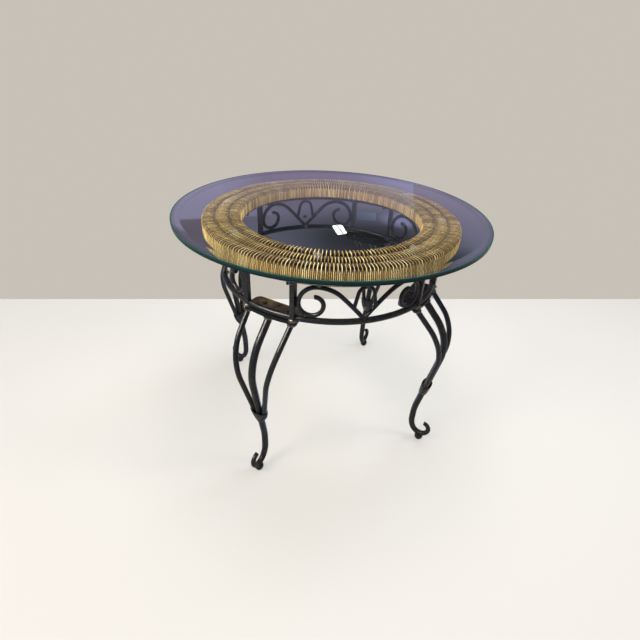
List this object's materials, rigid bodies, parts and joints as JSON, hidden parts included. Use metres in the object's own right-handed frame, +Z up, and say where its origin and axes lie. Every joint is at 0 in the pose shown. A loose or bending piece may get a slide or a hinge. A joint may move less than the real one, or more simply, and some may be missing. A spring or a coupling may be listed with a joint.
{
  "type": "round glass-top side table",
  "caption": "Round side table: loose bevelled glass disc on a woven cane ring, over a scrolled wrought-iron frame with bowed, bundled-bar legs.",
  "frame": {"origin": "on the floor, on the axis of the glass top", "axes": "+Z up along the table's axis; the four legs stand on the diagonals, so the scrolled bays face +X, -X, +Y and -Y"},
  "size_m": [0.9139, 0.914, 0.7465],
  "materials": {
    "clear_glass": "clear plate glass, polished, with a bevelled rim that looks sea green from the side",
    "clear_bumper": "soft clear silicone, smooth",
    "woven_cane": "closely woven round cane, honey brown under a thin satin lacquer, darker between the reeds",
    "black_iron": "forged iron, blue-black with brown wear, waxed to a soft sheen",
    "rusty_plate": "rough dark iron plate with brown rust",
    "bolt_steel": "dull bright steel"
  },
  "bodies": {
    "frame": {"arch_back_bay": "black_iron", "arch_front_bay": "black_iron", "arch_left_bay": "black_iron", "arch_right_bay": "black_iron", "foot_pads": "black_iron", "frame_plate_back_left": "rusty_plate", "frame_plate_back_right": "rusty_plate", "frame_plate_front_left": "rusty_plate", "frame_plate_front_right": "rusty_plate", "glass_bumpers": "clear_bumper", "leg_bolts": "bolt_steel", "leg_centre_bar_back_left": "black_iron", "leg_centre_bar_back_right": "black_iron", "leg_centre_bar_front_left": "black_iron", "leg_centre_bar_front_right": "black_iron", "leg_collar_back_left": "black_iron", "leg_collar_back_right": "black_iron", "leg_collar_front_left": "black_iron", "leg_collar_front_right": "black_iron", "leg_flange_back_left": "rusty_plate", "leg_flange_back_right": "rusty_plate", "leg_flange_front_left": "rusty_plate", "leg_flange_front_right": "rusty_plate", "leg_nuts": "bolt_steel", "leg_side_bar_back_left_left": "black_iron", "leg_side_bar_back_left_right": "black_iron", "leg_side_bar_back_right_left": "black_iron", "leg_side_bar_back_right_right": "black_iron", "leg_side_bar_front_left_left": "black_iron", "leg_side_bar_front_left_right": "black_iron", "leg_side_bar_front_right_left": "black_iron", "leg_side_bar_front_right_right": "black_iron", "lower_ring": "black_iron", "post_back_left_left": "black_iron", "post_back_left_right": "black_iron", "post_back_right_left": "black_iron", "post_back_right_right": "black_iron", "post_front_left_left": "black_iron", "post_front_left_right": "black_iron", "post_front_right_left": "black_iron", "post_front_right_right": "black_iron", "rim_band_inner": "black_iron", "rim_band_outer": "black_iron", "ring_ribs": "black_iron", "scroll_back_bay_left": "black_iron", "scroll_back_bay_right": "black_iron", "scroll_front_bay_left": "black_iron", "scroll_front_bay_right": "black_iron", "scroll_left_bay_left": "black_iron", "scroll_left_bay_right": "black_iron", "scroll_right_bay_left": "black_iron", "scroll_right_bay_right": "black_iron", "upper_ring": "black_iron", "weave_hoop_inner": "black_iron", "weave_hoop_middle": "black_iron", "weave_hoop_outer": "black_iron", "woven_ring": "woven_cane"},
    "glass": {"glass_top": "clear_glass"}
  },
  "joints": [
    {"name": "glass_lift", "type": "slide", "parent": "frame", "child": "glass", "axis": [0, 0, 1], "range_m": [0, 0.15]}
  ]
}
